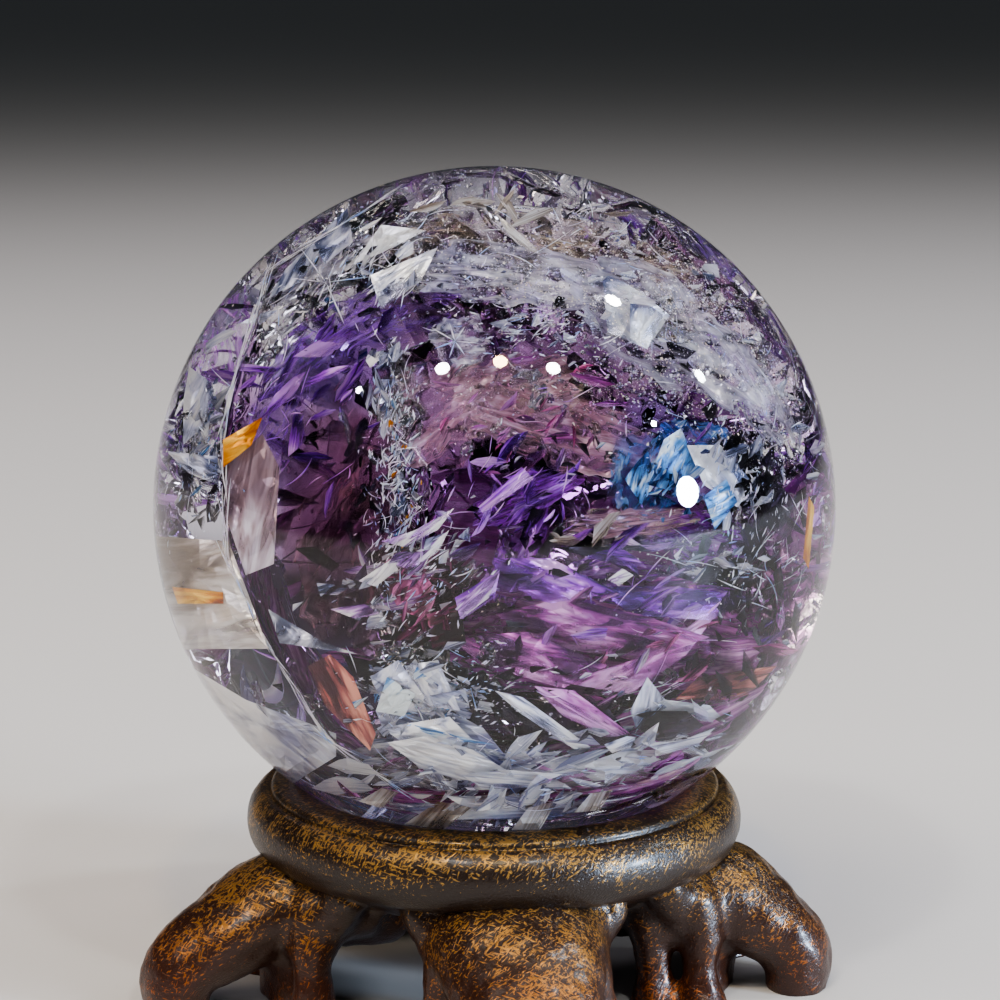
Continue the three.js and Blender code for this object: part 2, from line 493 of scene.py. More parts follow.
def sheet(frameAt, width, height, bow, crinkle, grain, seed, cells):
    # one thin leaf inside the ball, uneven round its edge and wavy; its seed picks its part of the noise
    leaf = addObject(bpy.ops.mesh.primitive_grid_add, x_subdivisions=cells, y_subdivisions=cells, size=2)
    shift = Vector((seed * 7.31, seed * 3.77, seed * 1.93))
    for vertex in leaf.data.vertices:
        u, v = vertex.co.x, vertex.co.y
        x = u * math.sqrt(1 - v * v / 2)
        y = v * math.sqrt(1 - u * u / 2)
        angle = math.atan2(y, x)
        rim = Vector((math.cos(angle) * edgeWaves, math.sin(angle) * edgeWaves, seed))
        edge = 1 + ragged * noise.fractal(rim, 0.8, 2, 3)
        x, y = x * edge * width / 2, y * edge * height / 2
        z = bow * (u * u + v * v) + crinkle * uneven(Vector((x, y, 0)) / grain + shift)
        vertex.co = inBall(frameAt @ (Vector((x, y, z)) * mm), "leaf")
    return leaf


leftWall = [
    # right, up: the open crack that parts the clear left rim from the heart
    (-8.4, 28.3), (-19.9, 21), (-23, 11.3), (-24.1, 6), (-23.6, -4.7), (-20.3, -11.7), (-14.6, -20.6),
    (-8.4, -25),
]
crackSettings = {
    "skin": {"segments": 216, "ring_count": 108},
    "gap": 0.05 * mm,
    "wall": {
        "cells": (60, 16), "width": 4.5, "near": 0.06, "far": 0.56, "seed": 4,
        "taper": 40,             # mm up or down where its width would be nothing
        "pinch": 0.1,            # how much shorter its far side is
        "wave": 0.3,             # mm to the right
        "waveDepth": 0.07,       # depth for each mm of it
    },
    "seed": 11, "leafCells": 22,
    # the small leaves of the clusters: tilt in degrees, and for each mm of size the least height
    # and the shape, which is bow, crinkle and grain
    "small": {"cells": 5, "depths": (0.04, 0.9), "tilt": 75, "slender": 0.3, "shape": (0.1, 0.12, 0.5)},
    # side, right, up, depth, turn, lean, spin, width, height, bow, crinkle, grain (degrees and mm)
    "leaves": [
        (0, -14, 22, 0.22, -38, 32, 20, 10, 7, 0.5, 0.5, 4),
        (0, -18, 17, 0.2, -50, 22, -20, 6, 9, 0.5, 0.5, 3),
        (0, -9.5, 24.5, 0.3, -20, 48, 50, 9, 6, 0.4, 0.4, 4),
        (0, -8, 21.5, 0.15, 35, 30, 10, 8, 5, 0.2, 0.15, 4),
        (0, -8.5, 5, 0.2, 55, 8, 6, 5, 17, 0.5, 1, 2.2),
        (0, -7, -8, 0.22, 30, -40, 30, 8, 7, 0.8, 1, 2),
        (0, -6, -15, 0.16, -25, -48, 10, 9, 8, 0.4, 0.4, 4),
        (0, -1, -18, 0.2, 22, -46, -15, 11, 8, 0.5, 0.7, 3),
        (0, 0, -22, 0.3, -10, -55, 0, 20, 6, 0.8, 0.8, 4),
        (0, 16, -19, 0.16, 30, -50, 0, 12, 7, -1.2, 0.5, 5),
        (0, 10, -13, 0.25, 15, -55, -8, 26, 9, 1, 0.9, 4),
        (0, 22, 3, 0.16, 48, 10, 0, 8, 7, 0.4, 0.6, 3),
        (0, 13, -3, 0.2, 5, 62, 8, 14, 5, 0.7, 0.5, 4),
        (0, 12, -25, 0.2, 5, -62, 5, 26, 5, 0.8, 0.6, 5),
        (0, 13.5, 17, 0.1, 15, 50, -25, 9, 5, 0.1, 0.05, 5),
        (0, 3, 1, 0.4, 42, 22, 30, 10, 12, 0.8, 1.4, 3),
        (150, 4, 8, 0.25, 35, 30, 20, 18, 12, 1, 1.2, 4),
        (165, -9, -10, 0.2, -30, -45, -10, 14, 10, 0.8, 1, 3),
        (215, 6, -14, 0.2, 25, -48, 15, 16, 9, 0.8, 0.8, 4),
        (90, 5, 12, 0.2, 40, 25, 40, 14, 9, 0.8, 1, 3),
        (-90, -6, -8, 0.2, -40, -30, 10, 12, 12, 0.8, 1, 3),
    ],
    "clusters": [
        # side, right, up, depth, spread right, up, depth, count, smallest, largest mm
        (0, -26.3, 7.5, 0.25, 2, 5, 0.25, 20, 2, 5),
        (0, -8.5, 5, 0.22, 2, 9, 0.06, 26, 1.2, 3.5),
        (0, -7, -8, 0.2, 4, 5, 0.06, 24, 1.5, 3.5),
        (0, -5, -16, 0.15, 7, 5, 0.08, 34, 2, 5),
        (0, 15, -15, 0.2, 11, 6, 0.12, 30, 2, 5),
        (0, 22, 1, 0.2, 4, 5, 0.1, 22, 1.5, 4),
        (0, -13, 22, 0.18, 7, 4, 0.08, 20, 1.5, 4.5),
        (0, 5, 8, 0.2, 10, 8, 0.1, 36, 0.8, 2.5),
        (180, 0, 0, 0.2, 26, 26, 0.15, 100, 1.5, 5),
        (90, 0, 0, 0.2, 20, 20, 0.15, 40, 1.5, 5),
        (-90, 0, 0, 0.2, 20, 20, 0.15, 40, 1.5, 5),
    ],
    "specks": [
        # side, right, up, spread right, up, least and most depth, count, smallest, largest mm
        (0, 4, 22, 14, 4, 0.03, 0.3, 700, 0.25, 0.9),
        (0, 17, 17, 9, 7, 0.03, 0.3, 1000, 0.25, 0.9),
        (0, 25, 7, 4, 9, 0.03, 0.3, 600, 0.25, 0.8),
        (0, 10, 12, 12, 6, 0.05, 0.3, 500, 0.25, 1),
        (0, 4, -12, 18, 10, 0.05, 0.3, 500, 0.25, 0.8),
        (180, 0, 8, 24, 20, 0.04, 0.3, 1000, 0.3, 1),
        (90, 0, 10, 18, 18, 0.04, 0.3, 400, 0.3, 1),
        (-90, 0, 10, 18, 18, 0.04, 0.3, 300, 0.3, 1),
    ],
}


def strip(curve, cells, width, near, far, seed, taper, pinch, wave, waveDepth):
    # a leaf along a curve that the front view shows, so wide to the right, from near to far deep
    leaf = addObject(bpy.ops.mesh.primitive_grid_add, x_subdivisions=cells[0], y_subdivisions=cells[1],
                     size=1)
    for vertex in leaf.data.vertices:
        t = (vertex.co.x + 0.5) * (len(curve) - 1)
        v = vertex.co.y + 0.5
        k = min(int(t), len(curve) - 2)
        right, up = (curve[k][i] + (curve[k + 1][i] - curve[k][i]) * (t - k) for i in (0, 1))
        shake = uneven(Vector((t * 1.1, v * 1.5, seed)))
        right += v * width * (1 - abs(up) / taper) + wave * shake
        depth = near + (far - near) * v + waveDepth * wave * shake
        vertex.co = inBall(seenAt(right, up * (1 - pinch * v), depth), "leaf")
    return leaf


flakeReach = 29.3          # mm from the middle of the front view
needleSway = (0.7, 0.5)    # radians out of the picture's plane
needleSpread = 24          # degrees about the way that they lie


def flakes(rows, seed, name, flatness, stretch=1):
    # thousands of tiny eight-sided flakes strewn below the skin, as one mesh; stretched ones are
    # needles, which lie about the row's last value, an angle in the front view, if it has one
    dice = random.Random(seed)
    points, faces = [], []
    for side, right, up, wide, tall, near, far, count, small, large, *lie in rows:
        for _ in range(count):
            x, y = dice.gauss(right, wide / 2), dice.gauss(up, tall / 2)
            if math.hypot(x, y) > flakeReach:
                continue
            size = small + (large - small) * dice.random() ** 3
            if lie:
                turns = [*(dice.gauss(0, sway) for sway in needleSway),
                         math.radians(dice.gauss(lie[0], needleSpread))]
            else:
                turns = [dice.uniform(0, math.tau) for _ in range(3)]
            at = layOut(side, x, y, dice.uniform(near, far)) @ Euler(turns).to_matrix().to_4x4()
            first = len(points)
            for corner in ((1, 0, 0), (0.2, 0.7, 0), (-0.9, 0.3, 0), (-0.3, -0.6, 0),
                           (0, 0, flatness), (0, 0, -flatness)):
                jitter = dice.uniform(0.6, 1.2) * size * mm / 2
                spot = Vector((corner[0] * stretch, corner[1] / stretch, corner[2])) * jitter
                points.append(inBall(at @ spot, "flake"))
            for k in range(4):
                after = first + (k + 1) % 4
                faces += [(first + k, after, first + 4), (after, first + k, first + 5)]
    return newPiece(name, points, faces)


def makeBall(s):
    dice = random.Random(s["seed"])
    leaves = [sheet(layOut(*leaf[:7]), *leaf[7:], seed, s["leafCells"])
              for seed, leaf in enumerate(s["leaves"])]
    leaves.append(strip(leftWall, **s["wall"]))
    leafy = s["small"]
    tilt = leafy["tilt"]
    shallow, deepest = leafy["depths"]
    for side, right, up, depth, wide, tall, deep, count, small, large in s["clusters"]:
        for _ in range(count):
            size = small + (large - small) * dice.random() ** 2
            spot = layOut(side, dice.gauss(right, wide / 2), dice.gauss(up, tall / 2),
                          min(max(dice.gauss(depth, deep / 2), shallow), deepest),
                          dice.uniform(-tilt, tilt), dice.uniform(-tilt, tilt), dice.uniform(0, 180))
            leaves.append(sheet(spot, size, size * dice.uniform(leafy["slender"], 1),
                                *(share * size for share in leafy["shape"]),
                                dice.uniform(0, 99), leafy["cells"]))
    cracks = joinAll(leaves, "cracks")
    applyModifier(cracks, "SOLIDIFY", thickness=s["gap"], offset=0)
    cracks = joinAll([cracks, flakes(s["specks"], 21, "specks", flatness=0.12)], "cracks")
    editAll(cracks, bpy.ops.mesh.flip_normals)    # a crack is a hollow in the quartz, so it faces inwards
    shadeSmooth(cracks)
    skin = addObject(bpy.ops.mesh.primitive_uv_sphere_add, radius=ballRadius, location=ballCentre,
                     **s["skin"])
    shadeSmooth(skin)
    return joinAll([skin, cracks], "ametrineBall")


quartz = absorbing("polishedQuartz", "#dcd4e8", 12, quartzIor)
ball = makeBall(crackSettings)
dress(ball, quartz)
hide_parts("sphere")
print("ball made", sum(len(face.vertices) - 2 for face in ball.data.polygons), "triangles")


# Colour zones inside the crystal

zoneSettings = [
    # name, tint, density, right, up, depth, half sizes (right, up, deep) mm, roughness of shape, grain, seed
    ("violetHeart", "#bc5cc4", 66, 3.5, -2, 0.5, 16.5, 17, 16, 3, 9, 1),
    ("indigoArch", "#7c3cc8", 130, -13, 13, 0.2, 4.5, 3.5, 4, 1.5, 5, 2),
    ("violetFlank", "#9048b8", 120, -19, 6.5, 0.18, 3, 5, 4, 1.5, 5, 3),
    ("maroonSmoke", "#a84a78", 130, -13.5, -1, 0.25, 4.5, 8, 5, 1.5, 6, 4),
    ("magentaPocket", "#c41c8c", 170, -6.5, -6.5, 0.2, 4, 4.5, 4, 1.5, 5, 5),
    ("vividHeart", "#b028c8", 140, 3, 1.5, 0.2, 5, 3.5, 4, 1.5, 5, 6),
    ("blueDepth", "#4460e8", 90, 15, 4.5, 0.2, 4, 4, 4, 1.5, 5, 7),
    ("rustSmoke", "#d09aa4", 50, 5.5, 8, 0.25, 7, 4, 5, 1.5, 6, 8),
    ("mauveDepth", "#c060c4", 64, 10, -12, 0.25, 11, 6, 7, 1.5, 6, 9),
    ("wineFoot", "#b070a8", 50, 3, -24.5, 0.2, 12, 2.5, 5, 1, 6, 10),
    ("inkPocket", "#34186c", 160, 21.5, 3.5, 0.18, 3, 3, 4, 1, 5, 11),
    ("plumRim", "#844888", 200, 21.5, -12, 0.3, 5, 9, 6, 1.5, 6, 13),
]


def makeZone(name, tint, density, right, up, depth, wide, tall, deep, rough, grain, seed):
    zone = addObject(bpy.ops.mesh.primitive_ico_sphere_add, subdivisions=4, radius=1)
    at = layOut(0, right, up, depth)
    for vertex in zone.data.vertices:
        spot = Vector((vertex.co.x * wide, vertex.co.y * tall, vertex.co.z * deep))
        swell = 1 + rough * uneven(spot / grain + Vector((seed * 9, 0, 0)), 2) / (wide + tall) * 2
        vertex.co = inBall(at @ (spot * swell * mm), "zone")
    zone.name = name
    zone.data.name = name
    shadeSmooth(zone)
    dress(zone, absorbing(name, tint, density, 1))


for row in zoneSettings:
    makeZone(*row)
print("colour zones made")


# Veils: healed cracks that hold colour and a silky shine; the pale blue one is a painted glow round the
# window lamp's mirror image, and the milk ones along the bottom are painted glare

veilSettings = {
    "vividSilk": {
        "colours": ("#300a58", "#a838cc", "#ecc0ff"), "cover": (0.38, 0.62), "streak": (0.9, 3.5), "leaves": [
            (0, 2.5, 0.8, 0.16, 20, 10, 24, 9, 3.2, 0.3, 0.5, 3),
            (0, 12, -7.5, 0.2, 5, -15, -6, 15, 5, 0.5, 0.9, 3),
            (0, 18, -2.5, 0.2, 15, 0, -10, 8, 4, 0.3, 0.8, 3),
            (0, 2, -4.5, 0.22, 25, 10, 60, 7, 4, 0.3, 0.8, 3),
            (160, 6, 2, 0.2, 10, 10, 30, 18, 8, 0.6, 1, 4),
            (-95, 0, 6, 0.2, 10, 10, -30, 14, 8, 0.6, 1, 4),
        ]},
    "mauveSilk": {
        "colours": ("#3c1048", "#b050a4", "#f8c0e8"), "cover": (0.32, 0.56), "streak": (0.7, 3.2), "leaves": [
            (0, 8, -12, 0.22, 5, -25, -6, 26, 9, 0.8, 0.9, 4),
            (0, 18, -13, 0.16, 20, -20, 8, 12, 8, 0.5, 0.9, 3),
            (0, 14, -20, 0.14, 15, -35, 12, 20, 6, 0.8, 0.8, 4),
            (0, 20.5, -17.5, 0.45, 30, -30, 42, 13, 7, 0.6, 0.8, 4),
            (0, 24, -9, 0.45, 40, -10, 70, 12, 6, 0.6, 0.8, 4),
            (0, 4, -25.5, 0.14, 0, -45, 2, 26, 5, 1.2, 0.6, 4),
            (170, -5, -12, 0.2, 0, -25, 10, 26, 9, 0.8, 1, 4),
            (90, 0, -8, 0.2, 0, -20, -10, 22, 9, 0.8, 1, 4),
        ]},
    "indigoSilk": {
        "colours": ("#1c0840", "#7838a8", "#c4a0f0"), "cover": (0.38, 0.64), "streak": (1.2, 4), "leaves": [
            (0, -15, 14, 0.14, -25, 15, 40, 12, 6, 0.5, 0.7, 3),
            (0, -19, 8, 0.14, -30, 5, 60, 9, 5, 0.4, 0.6, 3),
            (0, -9, 17, 0.2, -15, 20, 10, 9, 5, 0.4, 0.7, 3),
            (120, 0, 12, 0.2, 0, 15, 20, 18, 9, 0.6, 1, 4),
        ]},
    "plumSilk": {
        "colours": ("#1c0a1c", "#5c2848", "#b08494"), "cover": (0.36, 0.66), "streak": (1.4, 4), "leaves": [
            (0, -14, 3, 0.22, -15, 5, 65, 16, 9, 0.6, 0.8, 4),
            (0, -12, -6, 0.22, -10, -8, 80, 12, 9, 0.6, 0.8, 4),
            (0, -5, -9, 0.2, 10, -15, 20, 8, 6, 0.4, 0.6, 3),
            (200, -4, 6, 0.22, 0, 5, 30, 18, 10, 0.6, 1, 4),
            (0, -5, 9, 0.26, 0, 10, 25, 9, 9, 0.4, 0.6, 3),
        ]},
    "warmHaze": {
        "colours": ("#a08c80", "#d8c0a8", "#fff0d8"), "cover": (0.43, 0.75), "streak": (1.3, 2.6), "leaves": [
            (0, 5, 23.5, 0.14, 0, 40, -8, 22, 5, 1, 0.6, 4),
            (0, 14, 20, 0.14, 20, 30, -30, 12, 6, 0.6, 0.6, 4),
            (0, 12, -1.8, 0.14, 5, 20, 6, 11, 2.6, 0.4, 0.4, 3),
            (0, 3, 9, 0.22, 0, 10, 20, 8, 5, 0.5, 0.6, 3),
            (-150, 4, 20, 0.15, 0, 30, 10, 20, 6, 1, 0.8, 4),
        ]},
    "rustHaze": {
        "colours": ("#7c5470", "#d0a0b0", "#fce0e8"), "cover": (0.36, 0.64), "streak": (0.9, 3), "leaves": [
            (0, 6, 6.5, 0.2, 10, 15, -15, 14, 6, 0.6, 0.8, 4),
            (0, 1.5, 10.5, 0.2, 0, 15, 15, 8, 5, 0.6, 0.8, 4),
            (0, 12, -1.5, 0.12, 5, 20, 6, 10, 2, 0.4, 0.4, 3),
            (0, -4.5, 8.5, 0.22, 0, 15, 40, 8, 7, 0.5, 0.6, 3),
        ]},
    "milkSilkAndPaintedGlare": {
        "colours": ("#a49cc0", "#e0dcec", "#ffffff"), "cover": (0.4, 0.62), "streak": (1.3, 2.6), "leaves": [
            # the first three, along the bottom, are painted glare of the bright surroundings seen through the
            # ball
            (0, -5, -23.5, 0.14, -5, 25, -6, 14, 5, 0.6, 0.5, 4),
            (0, 7, -24.5, 0.14, 5, 25, 8, 12, 4, 0.6, 0.5, 4),
            (0, 0, -27.3, 0.1, 0, 10, 2, 22, 2, 0.6, 0.5, 4),
            (0, -3, 14.8, 0.08, 0, 15, 0, 5, 4, 0.2, 0.6, 1.5),
            (0, 16, 15, 0.1, 20, 25, -35, 18, 10, 1, 0.8, 4),
            (0, 23, 10, 0.1, 40, 15, -60, 11, 5, 1, 0.8, 4),
            (0, 2, 20, 0.1, 0, 30, -5, 18, 6, 1, 0.8, 4),
            (0, -16, 21, 0.14, -30, 30, 35, 10, 6, 0.5, 0.5, 4),
            (180, 5, 14, 0.1, 0, 25, -20, 22, 12, 1, 0.8, 4),
        ]},
    # pale blue veils round the window lamp's mirror image: a painted glow
    "paintedGlowSilk": {
        "colours": ("#16306c", "#4c8cd8", "#d4f0ff"), "cover": (0.36, 0.64), "streak": (0.9, 3), "leaves": [
            (0, 13.5, 2.5, 0.14, 10, 20, 60, 7, 6, 0.3, 0.7, 3),
            (0, 18.5, 4, 0.16, 20, 20, -40, 7, 6, 0.3, 0.7, 3),
        ]},
}


def silk(name, colours, cover, streak):
    # healed crack in quartz: a satin film of tiny channels, drawn out in streaks, part clear; also used for a
    # painted glow and painted glare
    material, tree = newMaterial(name)
    uv = addNode(tree, "UVMap", uv_map="UVMap")
    drawn = addNode(tree, "Mapping", {"Vector": uv, "Scale": (*streak, 1)})
    lines = addNode(tree, "TexNoise", {"Vector": drawn, "Scale": 2.2, "Detail": 4, "Roughness": 0.66,
                                       "Distortion": 0.5})
    place = addNode(tree, "TexCoord", out="Object")
    clouds = addNode(tree, "TexNoise", {"Vector": place, "Scale": 1 / (2.5 * mm), "Detail": 2,
                                        "Roughness": 0.7})
    tint = addNode(tree, "ValToRGB", {"Fac": lines}, stops=zip((0.36, 0.52, 0.68), map(srgb, colours)))
    both = addNode(tree, "Math", {0: lines, 1: clouds}, operation="ADD")
    thin = addNode(tree, "MapRange", {"Value": both, "From Min": 2 * cover[0], "From Max": 2 * cover[1],
                                      "To Min": 0, "To Max": 0.9})
    ripple = addNode(tree, "Bump", {"Height": lines, "Strength": 0.8, "Distance": 0.4 * mm})
    shader = addNode(tree, "BsdfPrincipled", {
        "Base Color": tint, "Roughness": 0.28, "Metallic": 0.5, "Alpha": thin, "Normal": ripple})
    addNode(tree, "OutputMaterial", {"Surface": shader})
    return material


veilCells = 32    # across each leaf


def makeVeil(name, material, leaves, seed):
    veil = joinAll([sheet(layOut(*leaf[:7]), *leaf[7:], seed + k, veilCells)
                    for k, leaf in enumerate(leaves)], name)
    shadeSmooth(veil)
    dress(veil, material)


for index, (name, s) in enumerate(veilSettings.items()):
    makeVeil(name, silk(name, s["colours"], s["cover"], s["streak"]), s["leaves"], seed=40 + index * 7)
print("veils made")


# Splinters: the flat faces of cracks, with near-black ones that are painted shade and milk, cream and blue
# ones that are partly painted glare and glow; the main ones have the outlines that the front view shows

def allRound(up, wide, tall, near, far, counts, small, large, ways):
    # rows that fill the back and both sides, where no photo shows the stone
    behind, beside = counts
    return [(180, 0, up, wide, tall, near, far, behind, small, large, ways[0]),
            (90, 0, up, wide - 6, tall, near, far, beside, small, large, ways[1]),
            (-90, 0, up, wide - 6, tall, near, far, beside, small, large, ways[2])]


filmLooks = {
    # dark, middle and light of the lines, lines along each mm and across each face, how clear one edge is
    "pearlFilm": (("#5c6484", "#d8dcf0", "#ffffff"), (0.3, 3), 0.4),
    "lilacFilm": (("#50206c", "#c08cd8", "#ffffff"), (0.3, 5), 0.3),
    # milk and cream: crack faces whose pale colour is painted glare of the bright surroundings seen through
    # the ball
    "milkFilmPaintedGlare": (("#8c90b4", "#e0e4f0", "#ffffff"), (0.12, 5), 0.75),
    "creamFilmAndPaintedGlare": (("#988878", "#d4c8bc", "#fffaf4"), (0.12, 5), 0.55),
    "blushFilm": (("#7c6470", "#b8a0ac", "#ece4f4"), (0.1, 4), 0.7),
    "salmonFilm": (("#4c1c2c", "#b0605c", "#f4a890"), (0.15, 4), 0.6),
    "roseFilm": (("#380c30", "#a83478", "#f898c8"), (0.3, 3), 0.3),
    "amberFilm": (("#a04c04", "#e09010", "#ffc850"), (0.3, 2), 0.8),
    "violetFilm": (("#3c1068", "#a848dc", "#ecb4ff"), (0.2, 4), 0.2),
    "mauveFilm": (("#50185c", "#bc5cb4", "#f8b8f0"), (0.2, 4), 0.2),
    # azure: blue-white crack faces, and a painted glow round the window lamp's mirror image
    "azureFilmAndPaintedGlow": (("#102c60", "#68a4e0", "#f0fcff"), (0.3, 5), 0.8),
    # near-black chips that stand for the dark gaps between lit crack faces: painted shade
    "paintedShadeFilm": (("#030208", "#0c0814", "#30243c"), (0.3, 3), 0.3),
    "garnetFilm": (("#140208", "#4c0a2c", "#94386c"), (0.2, 6), 0.9),
}
# their loose splinters are bent slivers, pointed at both ends
curvedFilms = ("milkFilmPaintedGlare", "creamFilmAndPaintedGlare", "roseFilm", "violetFilm", "mauveFilm", "lilacFilm", "garnetFilm")
mainSplinters = {
    # depth, way of the lines in degrees, outline right and up mm from the ball's centre
    "pearlFilm": [
        (0.08, 60, [(-16, 23.5), (-18.5, 21), (-20, 18.5), (-17, 20), (-15.5, 22.5)]),
        (0.08, 50, [(-16, 23.5), (-13, 26.5), (-12.5, 23.5), (-15, 21.5)]),
        (0.07, 45, [(-12.5, 21.5), (-10, 25), (-6, 24.5), (-10, 22.5)]),
        (0.06, 35, [(-11, 20.5), (-5, 23), (-6.5, 20), (-10, 17.5)]),
        (0.07, -35, [(9.5, 21), (13, 19), (15.5, 17), (13.5, 14), (10, 15.5)]),
        (0.05, 60, [(12, 18), (13.5, 18), (15, 17), (13.5, 14), (12, 15)]),
        (0.06, 70, [(-27, 12.5), (-25, 11), (-24.5, 9.5), (-26, 7), (-27.5, 5.5), (-27.5, 9.5)]),
        (0.06, -20, [(-29, 5), (-24.5, 4.5), (-24.5, 2), (-27, 3)]),
        (0.05, 60, [(-11, -15), (-8.5, -13.5), (-6, -17), (-9, -19)]),
        (0.055, -60, [(-8, -14), (-5, -13.5), (-3, -18), (-6, -17.5)]),
        (0.05, -10, [(-10, -19.5), (-4, -18.5), (-2, -20.5), (-7, -21.5)]),
        (0.08, -30, [(-8.5, -21), (-3.5, -21.5), (0.5, -25), (-5, -25)]),
        (0.08, 30, [(-20, -9), (-15, -12), (-12, -13), (-19, -12)]),
        (0.08, -55, [(17, 5.5), (20, 5.5), (23, 2), (21.5, 0), (18.5, 2)]),
        (0.08, 20, [(15, -23), (22.5, -20.5), (17.5, -23.5)]),
        (0.06, -32, [(0, -16.2), (2.5, -16.8), (8.5, -21.2), (7, -21.4), (2, -18)]),
        (0.08, 75, [(12, -18), (13.5, -15), (15.5, -17.5), (12.5, -19.5)]),
    ],
    "creamFilmAndPaintedGlare": [
        # the first is painted glare of the bright surroundings seen through the clear left rim; the small
        # ones along the bottom rim are painted glare too
        (0.08, 4, [(-30, -2.5), (-23.5, -3), (-20, -12.5), (-27.5, -12.5), (-29, -8)]),
        (0.04, 45, [(-8, -28), (-5, -26), (-2, -26.5), (-4.5, -28.5)]),
        (0.04, 60, [(1.5, -28.5), (3, -26.5), (5.5, -26), (4, -28.5)]),
        (0.04, 62, [(7, -27), (8.5, -25.3), (10.5, -25), (9.3, -26.8)]),
        (0.04, 50, [(-12, -26), (-10, -24.8), (-8.5, -25.2), (-10, -26.6)]),
    ],
    "milkFilmPaintedGlare": [
        # painted glare of the bright surroundings seen through the ball: a plume at the lower left, the
        # first, and a band along the bottom
        (0.09, -38, [(-27, -14), (-22, -17), (-14, -20), (-14, -22), (-18, -24.5), (-21, -23), (-24, -18.5)]),
        (0.08, -15, [(-10.5, -18), (-6, -17), (-1, -19.5), (1, -22), (-5, -21.5), (-9.5, -20.5)]),
        (0.07, 12, [(12, -18.5), (15, -17), (19, -17.5), (20.5, -19), (16, -18)]),
        (0.08, 10, [(-6, -23.5), (4, -22), (12, -22.5), (3, -24.5)]),
        (0.042, -16, [(-9.5, -20.8), (-6, -20.2), (-2, -21.4), (1, -23.2), (-2, -24.2), (-6, -23.4)]),
        (0.04, -4, [(-3, -23.6), (1, -23.2), (6, -23.6), (3, -24.8), (-1, -24.9)]),
        (0.08, 2, [(-11, -25.8), (0, -26.6), (11, -25.8), (5, -27.6), (-5, -27.6)]),
        (0.045, 12, [(13, -20.8), (15, -21.8), (18, -21), (19.5, -19.5), (17, -20.5), (15, -20.8)]),
    ],
    "lilacFilm": [
        (0.05, 35, [(-10, -3), (-7, -2), (-3.5, 0), (-5, -2), (-8, -3.5)]),
        (0.055, 40, [(-9, -5), (-6, -3.5), (-4, -2), (-5, -4), (-7.5, -5.5)]),
        (0.05, 50, [(-12, -6.5), (-9, -4.5), (-8.5, -5.5), (-10.5, -7)]),
        (0.05, 15, [(-14.5, -9), (-11.5, -8.5), (-10, -9.5), (-12.5, -9.8)]),
        (0.06, 40, [(-3.5, -9), (-1.5, -7), (0.5, -5.5), (-0.5, -8), (-2.5, -9.5)]),
        (0.06, 20, [(10, -6.4), (11.3, -5.4), (12.3, -6), (11, -7)]),
    ],
    "blushFilm": [(0.08, 80, [(-24, 3.5), (-20.5, 6.5), (-19, 3.5), (-19.5, -5), (-22, -6), (-24, 0)])],
    "salmonFilm": [
        (0.07, -62, [(-14.5, -13), (-12.5, -15), (-10.5, -20), (-11, -21.5), (-15, -17.5), (-16.5, -14)]),
        (0.08, 15, [(16, -17), (18, -15), (25, -14), (22, -17)]),
    ],
    "amberFilm": [
        (0.05, 35, [(-24, 6), (-20.5, 8), (-21.5, 5.5), (-24, 3.5)]),
        (0.06, -5, [(-28.5, -7), (-24, -7.5), (-24, -8.5), (-28, -8.5)]),
        (0.06, 85, [(27.3, -4.5), (27.8, 1), (28.3, 0), (27.8, -5.5)]),
    ],
    "azureFilmAndPaintedGlow": [
        # the first three ring the window lamp's mirror image: a painted glow; the last two are blue-white
        # crack faces at the lower left
        (0.09, 60, [(13.5, 2), (15, 6), (16.5, 7), (18, 3.5), (15.5, 1.5)]),
        (0.1, 75, [(11.5, 2.5), (12.6, 4), (13.6, 5), (14.2, 2), (13, 0.2)]),
        (0.07, 30, [(18.5, 1), (20.5, 2.5), (21.5, 0.5), (19.5, -2)]),
        (0.05, -12, [(-8, -19), (0, -21), (-5, -20.5)]),
        (0.045, 40, [(-9.5, -15), (-7, -16.5), (-8, -18.5), (-10.5, -18)]),
    ],
    "garnetFilm": [
        (0.08, 40, [(-9.5, -7), (-6.5, -5.5), (-5, -7.5), (-6, -10), (-8.5, -9)]),
        (0.09, -50, [(-8.5, -9.5), (-6, -8.5), (-4.5, -11), (-7, -12.5)]),
        (0.08, 20, [(-6, -9.5), (-3, -8.5), (-2.5, -12), (-5.5, -12.5)]),
    ],
    "mauveFilm": [
        (0.09, -10, [(0, -9.5), (6, -8), (13, -9.5), (19, -11.5), (13, -13.5), (6, -12.5)]),
        (0.1, -18, [(-4, -11.5), (3, -11), (10, -14), (6, -16), (-1, -14)]),
        (0.09, 24, [(6, -15.5), (12, -14), (18, -10.5), (21, -7.5), (17, -13), (12, -16.5)]),
        (0.07, -30, [(3.5, -15.8), (7, -16.2), (12, -20), (10, -20.4), (6, -18.4)]),
    ],
    "violetFilm": [
        (0.09, -20, [(0, -4.5), (5, -4.5), (11, -7.5), (5, -8.5), (0, -7)]),
        (0.09, 6, [(9, -7), (16, -7), (23, -8), (19, -10), (12, -9.5)]),
        (0.07, 38, [(-1.5, 0), (2.5, 3.5), (3.5, 2.5), (-1, -0.5)]),
        (0.08, 35, [(-3.5, -8), (0.5, -5.5), (0, -8), (-3, -10)]),
    ],
    "paintedShadeFilm": [
        # near-black chips where the crack faces are dark: painted shade
        (0.1, -40, [(-13.5, -13), (-9, -14), (-11.5, -16.5)]),
        (0.1, -30, [(-1.5, -16), (4, -17.5), (4.5, -20), (0, -18)]),
        (0.1, 0, [(5, -3.5), (11.5, -3.5), (13, -6.5), (10.5, -5)]),
        (0.1, 70, [(24, 3.5), (27, 0), (26, -3), (23, -1)]),
        (0.045, 10, [(12.5, -19.5), (14.5, -18), (17, -18), (18.5, -19.3), (17, -20.4), (14.5, -20.7)]),
        (0.1, -30, [(6, -19.5), (9.5, -17), (12.5, -21), (10, -22)]),
    ],
}
